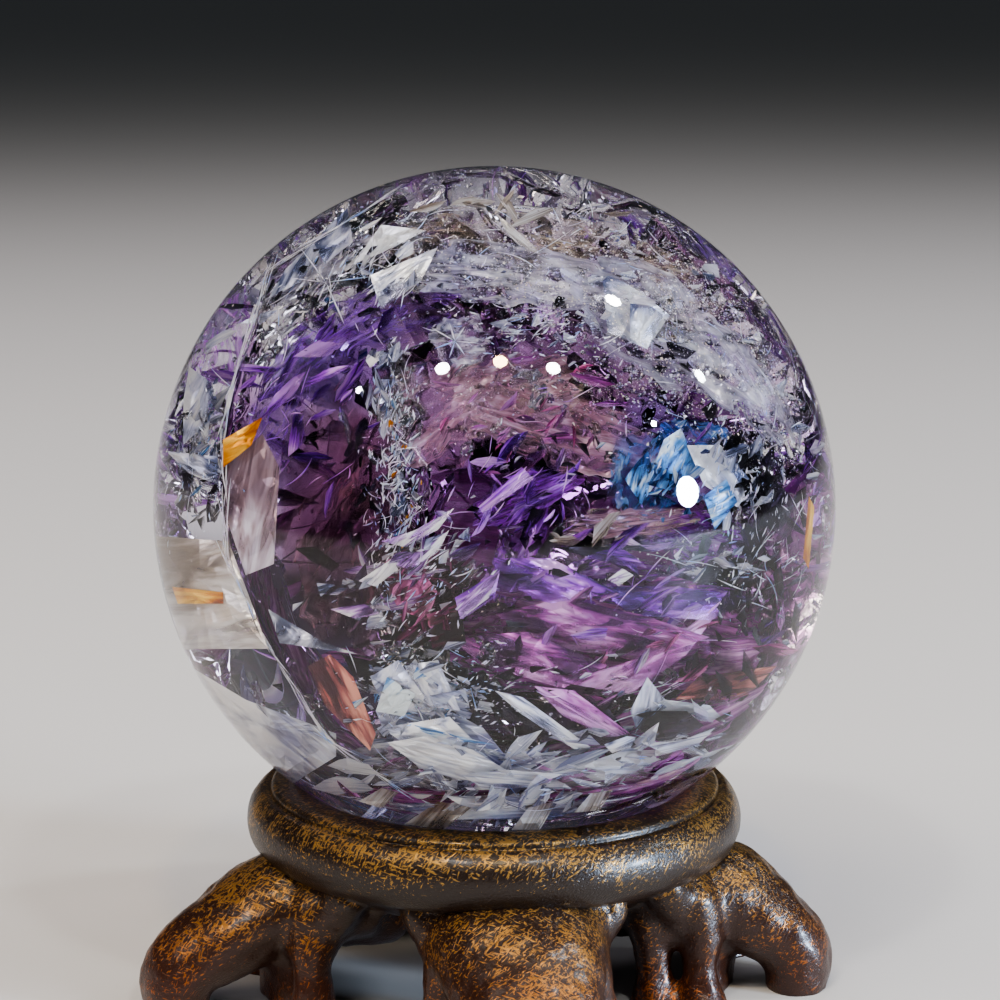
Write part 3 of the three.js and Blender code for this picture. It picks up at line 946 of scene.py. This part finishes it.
looseSplinters = {
    # side, right, up, spread right, up, least and most depth, count, smallest, largest mm, way they lie
    "pearlFilm": [
        (0, -6, -17, 7, 4, 0.05, 0.1, 26, 2, 5, -15), (0, 22, 4, 3, 4, 0.05, 0.1, 10, 2, 5, 60),
        (0, -26, 7, 2, 6, 0.05, 0.12, 12, 2, 4, 70), (0, 15, -21, 8, 3, 0.05, 0.1, 14, 2, 5, 12),
        (0, 0.5, -27, 14, 0.8, 0.06, 0.3, 22, 1.5, 3.5, 50),
        (0, -13, 22, 8, 4, 0.05, 0.12, 14, 1, 3.5, 55), (0, -10.5, 11, 2, 5, 0.05, 0.12, 22, 0.8, 3, 65),
        (0, -8.4, 4, 1.6, 6, 0.05, 0.1, 40, 0.6, 2.6, 82), (0, -9.4, -1, 1.6, 3, 0.05, 0.1, 20, 0.6, 2, 110),
        (0, -7, -6, 5, 5, 0.06, 0.14, 20, 0.8, 2.5, 40), (0, -5, -16.5, 8, 4, 0.05, 0.12, 40, 0.8, 3, -20),
        (0, -1, -23, 14, 3, 0.05, 0.12, 40, 1, 4, 5), (0, 23, 2, 4, 10, 0.05, 0.12, 18, 0.8, 3, 75),
        (0, 22, -6, 6, 4, 0.05, 0.12, 12, 0.8, 3, 15), (0, 18.5, -5.5, 5, 1.6, 0.05, 0.1, 16, 0.8, 2.6, 15),
        (0, 4, 15.5, 9, 4, 0.05, 0.12, 40, 0.6, 2, 20),
        (0, 15, -18, 9, 5, 0.05, 0.12, 30, 0.8, 3, 15), (0, -26, 6, 3, 8, 0.05, 0.2, 30, 0.8, 2.5, 75),
        (0, 14, 20, 9, 6, 0.05, 0.12, 50, 0.6, 2.5, -30),
        *allRound(0, 26, 24, 0.05, 0.15, (130, 60), 0.8, 4, (30, -30, 60)),
        (0, -11.5, -8.2, 4.5, 2.5, 0.05, 0.1, 26, 0.8, 3, 25),
        (0, -5.5, -3.5, 4, 2.5, 0.045, 0.08, 16, 0.8, 3.4, 45),
    ],
    "amberFilm": [(0, -8.2, 3, 1.2, 7, 0.045, 0.06, 12, 0.4, 1.2, 75)],
    "lilacFilm": [
        (0, -7, -4, 4, 3, 0.05, 0.1, 16, 2, 4.5, 45), (0, 2, 2, 5, 4, 0.06, 0.12, 10, 1, 3, 40),
        (0, 14, -10, 12, 6, 0.06, 0.12, 10, 1.5, 5, 20), (180, 0, -4, 20, 14, 0.06, 0.14, 40, 1, 4, 10),
    ],
    "milkFilmPaintedGlare": [
        # painted glare along the bottom band
        (0, 0, -23.7, 15, 2.2, 0.05, 0.1, 60, 2, 7, 4), (0, 0, -26.4, 15, 1.2, 0.05, 0.1, 34, 1.5, 4, 24),
        (180, 0, -20, 20, 6, 0.05, 0.1, 30, 2, 6, 5),
    ],
    "creamFilmAndPaintedGlare": [
        (0, 10.5, -2.6, 7, 1, 0.05, 0.1, 8, 1.5, 5, -6), (0, 4, 26, 14, 2, 0.05, 0.1, 10, 2, 6, -4),
    ],
    "roseFilm": [
        (0, -6.5, -7, 3.5, 3.5, 0.06, 0.12, 20, 1.5, 4, 45), (0, 3, 7, 6, 5, 0.06, 0.14, 14, 1, 3, 30),
        (0, 16, -13, 10, 4, 0.06, 0.14, 9, 2, 6, 22),
    ],
    "garnetFilm": [(0, -6.5, -8.5, 6, 5, 0.06, 0.12, 16, 1, 3, 45)],
    "violetFilm": [
        (0, 2, 1, 7, 5, 0.06, 0.14, 20, 1.5, 5, 40), (0, 11, -8, 12, 5, 0.06, 0.14, 14, 2, 6, 12),
        (0, -17, 10, 6, 8, 0.06, 0.14, 18, 2, 6, 55),
        *allRound(-2, 22, 18, 0.06, 0.2, (90, 40), 1.5, 6, (20, 40, -20)),
    ],
    "mauveFilm": [
        (0, 10, -12, 14, 6, 0.06, 0.14, 14, 2, 6, 18), (0, 19.5, -19, 5, 3, 0.2, 0.6, 20, 2, 5, 40),
        (0, 25, -12, 2.5, 7, 0.2, 0.7, 36, 1.5, 4.5, 65), (0, 5, 8, 10, 6, 0.06, 0.16, 12, 1.5, 4.5, 20),
        (0, 3, -24, 14, 2, 0.05, 0.12, 24, 1, 4, 8), (180, 0, -8, 22, 12, 0.06, 0.2, 60, 1.5, 6, -15),
    ],
    "azureFilmAndPaintedGlow": [
        # the first row rings the window lamp's mirror image: a painted glow
        (0, 15, 3, 4, 4, 0.05, 0.12, 40, 0.6, 2.4, 60), (0, -7, -17, 5, 3, 0.05, 0.1, 34, 0.6, 2.6, 20),
        (0, -26, 7, 2, 7, 0.05, 0.2, 16, 0.8, 2.4, 75), (0, -8.5, 3, 1.6, 8, 0.05, 0.1, 30, 0.4, 1.2, 75),
        (180, 0, 0, 22, 18, 0.05, 0.15, 24, 0.8, 2.4, 0),
    ],
    "paintedShadeFilm": [
        # near-black chips in the dark gaps: painted shade
        (0, -11.5, 3, 2, 9, 0.06, 0.1, 30, 1, 3.5, 80), (0, 0, -16, 14, 5, 0.06, 0.12, 50, 1, 4, 10),
        (0, 25, -12, 2.5, 7, 0.3, 0.7, 16, 1.5, 4.5, 65), (0, 23, 0, 4, 9, 0.06, 0.12, 44, 0.8, 3.5, 75),
        (0, 3, -3, 9, 4, 0.06, 0.12, 36, 0.8, 3.5, 20),
        (0, -14, 20, 8, 5, 0.06, 0.12, 30, 0.8, 3.5, 55), (0, 15, -19, 8, 4, 0.06, 0.12, 24, 0.8, 3, 10),
        (0, -26.5, 0, 2.5, 2.5, 0.1, 0.4, 14, 1.5, 3.5, 80), (0, -26, 8, 2.5, 8, 0.1, 0.5, 24, 1.5, 4, 75),
        (0, 12, -10, 14, 6, 0.06, 0.12, 8, 0.8, 4, 22), (0, 23, -8, 5, 9, 0.05, 0.1, 34, 1.5, 4.5, 75),
        (0, 20, -19, 6, 4, 0.05, 0.3, 34, 1.5, 4.5, 35), (0, 14, 12, 9, 7, 0.06, 0.12, 30, 0.8, 3, -30),
        (0, -2, 18, 12, 4, 0.06, 0.12, 24, 0.8, 3, 10),
        *allRound(0, 24, 20, 0.07, 0.2, (80, 40), 1, 3.5, (20, 0, 0)),
    ],
}


def turnAbout(side):
    # turns what the front view shows to the view from another azimuth
    spin = Matrix.Rotation(math.radians(side), 4, "Z")
    return Matrix.Translation(ballCentre) @ spin @ Matrix.Translation(-ballCentre)


splinterShapes = {
    "footLine": -25,                # mm up: a main splinter below it stands up, to face the light in front
    "footLean": 0.05,               # by this much depth for each mm up
    "reach": 28.5,                  # mm of the loose ones from the middle of the front view
    "bentBreadth": (0.14, 0.34),    # share of the length, least and most
    "flatBreadth": (0.2, 0.6),
    "spread": 26,                   # degrees about the way of the row
    "bend": 0.15,                   # share of the length
    "lean": 0.02,                   # depth for each mm
    "edgeStep": 1.2,                # mm between the points of an edge
    "wave": 0.006,                  # depth of the waves in a face
    "waveGrain": 2.2,               # mm
    "leastDepth": 0.02,
}


def mainOutlines(rows, s, dice):
    for depth, way, outline in rows:
        corners = [Vector(corner) for corner in outline]
        foot = sum(corner.y for corner in corners) / len(corners) < s["footLine"]
        lean = (dice.uniform(-0.004, 0.004), dice.uniform(-0.004, 0.004) + (s["footLean"] if foot else 0))
        yield 0, depth, way, lean, corners


def looseOutlines(rows, s, curved, dice):
    # slivers that lie roughly one way: bent and pointed at both ends, or with three to five corners
    for side, right, up, wide, tall, near, far, count, small, large, way in rows:
        for _ in range(count):
            middle = Vector((dice.gauss(right, wide / 2), dice.gauss(up, tall / 2)))
            if middle.length > s["reach"]:
                continue
            length = small + (large - small) * dice.random() ** 2
            broad = length * dice.uniform(*s["bentBreadth" if curved else "flatBreadth"])
            turn = dice.gauss(way, s["spread"])
            spin = Matrix.Rotation(math.radians(turn), 2)
            bend = dice.uniform(-s["bend"], s["bend"]) * length
            outline = []
            corners = 10 if curved else dice.choice((3, 4, 5))
            for k in range(corners):
                if curved:
                    u = 1 - abs(2 * k / corners - 1)
                    rise = math.sin(math.pi * u) * (1 if k < corners / 2 else -1) * broad / 2
                    corner = Vector(((u - 0.5) * length, rise * dice.uniform(0.7, 1.2)))
                else:
                    angle = (k + dice.uniform(-0.25, 0.25)) * math.tau / corners
                    reach = dice.uniform(0.6, 1.2) / 2
                    corner = Vector((math.cos(angle) * length, math.sin(angle) * broad)) * reach
                corner.y += bend * (1 - 4 * (corner.x / length) ** 2)
                outline.append(middle + spin @ corner)
            lean = (dice.gauss(0, s["lean"]), dice.gauss(0, s["lean"]))
            yield side, dice.uniform(near, far), turn, lean, outline


def splinterMesh(outlines, s):
    # flat, slightly wavy faces between rings round the middle of each outline; each has a number of
    # its own in the whole part of its V, and its breadth from edge to edge in the rest
    points, faces, ways = [], [], []
    for number, (side, depth, way, lean, outline) in enumerate(outlines):
        about = turnAbout(side)
        middle = sum(outline, Vector((0, 0))) / len(outline)
        edge = []
        for a, b in zip(outline, outline[1:] + outline[:1]):
            steps = max(1, round((b - a).length / s["edgeStep"]))
            edge += [a.lerp(b, k / steps) for k in range(steps)]
        rings = 4 if len(edge) > 14 else 2
        back = Matrix.Rotation(-math.radians(way), 2)
        across = [(back @ corner).y for corner in edge]
        low, high = min(across), max(across)
        first = len(points)
        for ring in range(1, rings + 1):
            for corner in edge:
                spot = middle + (corner - middle) * (ring / rings)
                wave = noise.noise(Vector((*(spot / s["waveGrain"]), number)))
                offset = spot - middle
                deep = depth + lean[0] * offset.x + lean[1] * offset.y + s["wave"] * wave
                points.append(about @ inBall(seenAt(*spot, max(deep, s["leastDepth"])), "splinter"))
                along, breadth = back @ spot
                ways.append((along, number + 0.02 + 0.96 * (breadth - low) / (high - low)))
        count = len(edge)
        faces.append([first + k for k in range(count)])
        for ring in range(rings - 1):
            for k in range(count):
                a, b = first + ring * count + k, first + ring * count + (k + 1) % count
                faces.append([a, a + count, b + count, b])
    return points, faces, ways


def film(name, colours, lines, clearEdge):
    # face of a healed crack in quartz: satin, drawn out in lines, fading towards one edge; also used for
    # painted shade, glare and glow
    material, tree = newMaterial(name)
    uv = addNode(tree, "UVMap", uv_map="UVMap")
    parts = addNode(tree, "SeparateXYZ", {0: uv}).node.outputs
    number = addNode(tree, "Math", {0: parts["Y"]}, operation="FLOOR")
    across = addNode(tree, "Math", {0: parts["Y"]}, operation="FRACT")
    along = addNode(tree, "Math", {0: parts["X"], 1: lines[0]}, operation="MULTIPLY")
    apart = addNode(tree, "Math", {0: number, 1: 5.37}, operation="MULTIPLY")
    place = addNode(tree, "CombineXYZ", {0: along, 1: across, 2: apart})
    tone = addNode(tree, "TexNoise", {"Vector": place, "Scale": 0.8, "Detail": 1})
    drawn = addNode(tree, "Mapping", {"Vector": place, "Scale": (1, lines[1], 1)})
    streaks = addNode(tree, "TexNoise", {"Vector": drawn, "Scale": 1, "Detail": 3, "Roughness": 0.6,
                                         "Distortion": 0.8})
    level = addNode(tree, "Mix", {0: 0.45, "A": tone, "B": streaks})
    tint = addNode(tree, "ValToRGB", {"Fac": level}, stops=zip((0.42, 0.5, 0.57), map(srgb, colours)))
    veil = addNode(tree, "MapRange", {"Value": across, "To Min": clearEdge, "To Max": 1.3})
    broken = addNode(tree, "MapRange", {"Value": streaks, "From Min": 0.3, "From Max": 0.6,
                                        "To Min": -0.35, "To Max": 0.2})
    cover = addNode(tree, "Math", {0: veil, 1: broken}, operation="ADD", use_clamp=True)
    ripple = addNode(tree, "Bump", {"Height": streaks, "Strength": 0.5, "Distance": 0.25 * mm})
    shader = addNode(tree, "BsdfPrincipled", {
        "Base Color": tint, "Roughness": 0.24, "Metallic": 0.45, "Alpha": cover, "Normal": ripple})
    addNode(tree, "OutputMaterial", {"Surface": shader})
    return material


def makeSplinters(name, s, seed):
    dice = random.Random(seed)
    outlines = list(mainOutlines(mainSplinters.get(name, []), s, dice))
    outlines += looseOutlines(looseSplinters.get(name, []), s, name in curvedFilms, dice)
    points, faces, ways = splinterMesh(outlines, s)
    piece = newPiece(name, points, faces)
    layer = piece.data.uv_layers.new(name="UVMap")
    for loop in piece.data.loops:
        layer.data[loop.index].uv = ways[loop.vertex_index]
    applyModifier(piece, "SOLIDIFY", thickness=0.02 * mm, offset=0)
    dress(piece, film(name, *filmLooks[name]))
    print(name, len(outlines), "splinters,", len(piece.data.polygons), "faces")


for index, name in enumerate(filmLooks):
    makeSplinters(name, splinterShapes, seed=300 + index)


# Snow, needles and hairlines: a white haze of tiny healed cracks, and hairlines that stand for the bright
# edges of cracks: painted glints

snowSettings = [
    # side, right, up, spread right, up, least and most depth, count, smallest, largest mm
    (0, 2, 22, 13, 3.5, 0.03, 0.2, 2200, 0.06, 0.4),
    (0, 16, 17, 8, 6, 0.03, 0.2, 5600, 0.06, 0.4),
    (0, 23.5, 10, 4, 7, 0.03, 0.2, 2800, 0.06, 0.4),
    (0, 6, 19, 7, 3, 0.03, 0.16, 2200, 0.06, 0.4),
    (0, 16, 11, 8, 5, 0.03, 0.2, 1300, 0.08, 0.45),
    (0, 0, 10, 9, 5, 0.05, 0.3, 350, 0.1, 0.4),
    (0, 18, -8, 9, 6, 0.05, 0.3, 350, 0.1, 0.4),
    (0, 0, -14, 12, 8, 0.05, 0.3, 250, 0.1, 0.4),
    (180, 0, 14, 20, 10, 0.04, 0.3, 1500, 0.1, 0.5),
    (100, 0, 16, 16, 9, 0.04, 0.3, 700, 0.1, 0.5),
    (-110, 0, 14, 14, 9, 0.04, 0.3, 500, 0.1, 0.5),
]
needleSettings = [
    # as above, and the way that they lie, in degrees from the right
    (0, -9, 4.6, 2.5, 12, 0.05, 0.1, 300, 0.15, 0.6, 75), (0, -5, -16.5, 8, 5, 0.05, 0.1, 260, 0.15, 0.7, 20),
    (0, -7, -6, 5, 5, 0.05, 0.1, 160, 0.15, 0.7, 40), (0, 22, 1, 5, 9, 0.05, 0.1, 240, 0.15, 0.7, 70),
    (0, 4, 16, 9, 4, 0.05, 0.1, 240, 0.15, 0.6, 20), (0, 0, -23.5, 16, 3, 0.05, 0.1, 220, 0.15, 0.8, 5),
    (0, -13, 22, 7, 4, 0.05, 0.1, 140, 0.15, 0.8, 55), (0, -26, 6, 3, 8, 0.05, 0.1, 120, 0.15, 0.7, 75),
    *allRound(0, 26, 24, 0.05, 0.12, (400, 200), 0.15, 0.8, (30, 0, 0)),
]
hairSettings = {
    "pearlPaintedGlints": [
        # as above, with the lengths of the hairlines in mm
        (0, -9, 4.6, 2.2, 13, 0.05, 0.11, 60, 0.8, 3, 85),
        (0, -8.6, 1, 1.6, 6, 0.045, 0.06, 40, 0.7, 2.2, 50), (0, -14, 21, 7, 5, 0.05, 0.11, 40, 1, 6, 58),
        (0, -6.6, -4.7, 5, 4, 0.05, 0.11, 26, 0.8, 3.5, 38), (0, -5.6, -17, 9, 5, 0.05, 0.11, 30, 1, 4, -25),
        (0, -5.6, -17, 8, 4, 0.05, 0.11, 16, 0.8, 3, 50), (0, 1, -23.5, 17, 3, 0.05, 0.11, 36, 1.5, 6, 6),
        (0, 24, 0, 4, 14, 0.05, 0.11, 34, 1, 4, 82), (0, 22, -5.5, 7, 3, 0.05, 0.11, 20, 1, 4, 10),
        (0, 4, 15.5, 9, 4, 0.05, 0.11, 18, 0.8, 3, 20), (0, 5, 24, 18, 4, 0.04, 0.1, 30, 1, 5, -8),
        (0, 18, 18, 8, 6, 0.04, 0.1, 24, 1, 4, -38), (0, 16, -18, 9, 4, 0.05, 0.11, 24, 1, 5, 15),
        (0, -26.5, 7, 2.5, 9, 0.05, 0.15, 24, 1, 3.5, 78),
        *allRound(0, 26, 24, 0.05, 0.12, (140, 60), 1, 5, (30, -30, 60)),
    ],
    "orchidPaintedGlints": [
        (0, 11, -11, 16, 7, 0.05, 0.12, 22, 1.5, 7, 22), (0, 2, 2, 7, 5, 0.05, 0.12, 20, 1, 4, 40),
        (0, 5, 8, 9, 5, 0.05, 0.12, 8, 1, 4, 20), (0, -17, 9, 5, 8, 0.05, 0.12, 14, 1, 4, 60),
        (180, 0, -4, 24, 16, 0.05, 0.12, 70, 1, 5, 10),
    ],
}
starSettings = [(-3.5, 14.7, 7, 2.4), (-14.9, 19.9, 6, 3.6)]    # right, up, arms and their reach in mm
hairShapes = {
    # lengths and thicknesses in mm, least and most
    "steps": 6,
    "reach": 29.2,                # mm from the middle of the front view to a hairline's far end
    "spread": 30,                 # degrees about the way of the row
    "thick": (0.015, 0.055),
    "wallSpacing": 0.7,           # mm of the wall's curve for each hairline along it
    "wallLength": (2, 5), "wallThick": (0.03, 0.1), "wallDepth": 0.055,
    "starArm": (0.25, 0.6),       # share of the star's reach
    "starThick": (0.02, 0.07), "starDepth": 0.045,
}


def hairline(points, faces, about, spot, depth, way, length, bend, thick):
    # a thin curved line with three sides, thickest in the middle
    first = len(points)
    steps = hairShapes["steps"]
    x, y = spot
    x, y = x - math.cos(way) * length / 2, y - math.sin(way) * length / 2
    for k in range(steps + 1):
        angle = way + bend * (k / steps - 0.5)
        radius = thick * (0.12 + math.sin(math.pi * k / steps)) * mm
        at = seenAt(x, y, depth)
        beside = (eyeUp * math.cos(angle) - eyeRight * math.sin(angle)) * radius
        points += [about @ inBall(at + step, "hair") for step in (beside, -beside, eyeBack * radius * 0.7)]
        x, y = x + math.cos(angle) * length / steps, y + math.sin(angle) * length / steps
    for k in range(steps):
        for side in range(3):
            a, b = first + 3 * k + side, first + 3 * k + (side + 1) % 3
            faces.append((a, a + 3, b + 3, b))
    last = first + 3 * steps
    faces += [(first, first + 1, first + 2), (last + 2, last + 1, last)]


def makeHairs(name, rows, seed, wall=(), stars=()):
    # strewn as the rows say, then thick along a wall's curve, then as stars of arms
    s = hairShapes
    dice = random.Random(seed)
    points, faces = [], []
    for side, right, up, wide, tall, near, far, count, small, large, way in rows:
        for _ in range(count):
            spot = (dice.gauss(right, wide / 2), dice.gauss(up, tall / 2))
            length = small + (large - small) * dice.random() ** 2
            if math.hypot(*spot) + length / 2 < s["reach"]:
                hairline(points, faces, turnAbout(side), spot, dice.uniform(near, far),
                         math.radians(dice.gauss(way, s["spread"])), length, dice.gauss(0, 0.5),
                         dice.uniform(*s["thick"]))
    for a, b in zip(wall, wall[1:]):
        run = Vector(b) - Vector(a)
        for _ in range(round(run.length / s["wallSpacing"])):
            spot = Vector(a) + run * dice.random() + Vector((dice.gauss(0, 0.15), 0))
            hairline(points, faces, turnAbout(0), spot, s["wallDepth"],
                     math.atan2(run.y, run.x) + dice.gauss(0, 0.08), dice.uniform(*s["wallLength"]), 0.1,
                     dice.uniform(*s["wallThick"]))
    for right, up, arms, reach in stars:
        for k in range(arms):
            angle = math.tau * (k + dice.uniform(-0.3, 0.3)) / arms
            half = reach * dice.uniform(*s["starArm"])
            spot = (right + math.cos(angle) * half, up + math.sin(angle) * half)
            hairline(points, faces, turnAbout(0), spot, s["starDepth"], angle, 2 * half, 0,
                     dice.uniform(*s["starThick"]))
    piece = newPiece(name, points, faces)
    editAll(piece, bpy.ops.mesh.normals_make_consistent, inside=False)
    shadeSmooth(piece)
    return piece


def flakeFilm(name, tints):
    # tiny closed cracks with a pearly shine, their tint drifting from place to place; on the hairlines the
    # same pale colours are painted glints
    material, tree = newMaterial(name)
    place = addNode(tree, "TexCoord", out="Object")
    broad = addNode(tree, "TexNoise", {"Vector": place, "Scale": 1 / (3 * mm), "Detail": 2})
    tint = addNode(tree, "ValToRGB", {"Fac": broad}, stops=zip((0.36, 0.5, 0.64), map(srgb, tints)))
    shader = addNode(tree, "BsdfPrincipled", {
        "Base Color": tint, "Roughness": 0.3, "Specular IOR Level": 0.8})
    addNode(tree, "OutputMaterial", {"Surface": shader})
    return material


snowFlake = flakeFilm("snowFlake", ("#c4bcf0", "#ffffff", "#fff0d8"))
# iceHair also whitens the needles; on the hairlines it and orchidHair are painted glints
iceHair = flakeFilm("iceHair", ("#a8c8ff", "#ffffff", "#f4ecff"))
orchidHair = flakeFilm("orchidHair", ("#a860e8", "#e0a8ec", "#ffe0f4"))
for piece, material in (
        (flakes(snowSettings, 5, "snowVeil", flatness=0.25), snowFlake),
        (flakes(needleSettings, 6, "needles", flatness=0.3, stretch=1.7), iceHair),
        (makeHairs("pearlPaintedGlints", hairSettings["pearlPaintedGlints"], 31, leftWall, starSettings), iceHair),
        (makeHairs("orchidPaintedGlints", hairSettings["orchidPaintedGlints"], 32), orchidHair)):
    dress(piece, material)
    print(piece.name, len(piece.data.polygons), "faces")


# Enough bounces for light through the skin, the cracks and the films behind them, and the photo's contrast

scene = bpy.context.scene
scene.cycles.max_bounces = 8
scene.cycles.transmission_bounces = 8
scene.cycles.transparent_max_bounces = 6
scene.cycles.sample_clamp_indirect = 6
scene.view_settings.look = "AgX - Medium High Contrast"
scene.view_settings.exposure = 0.25
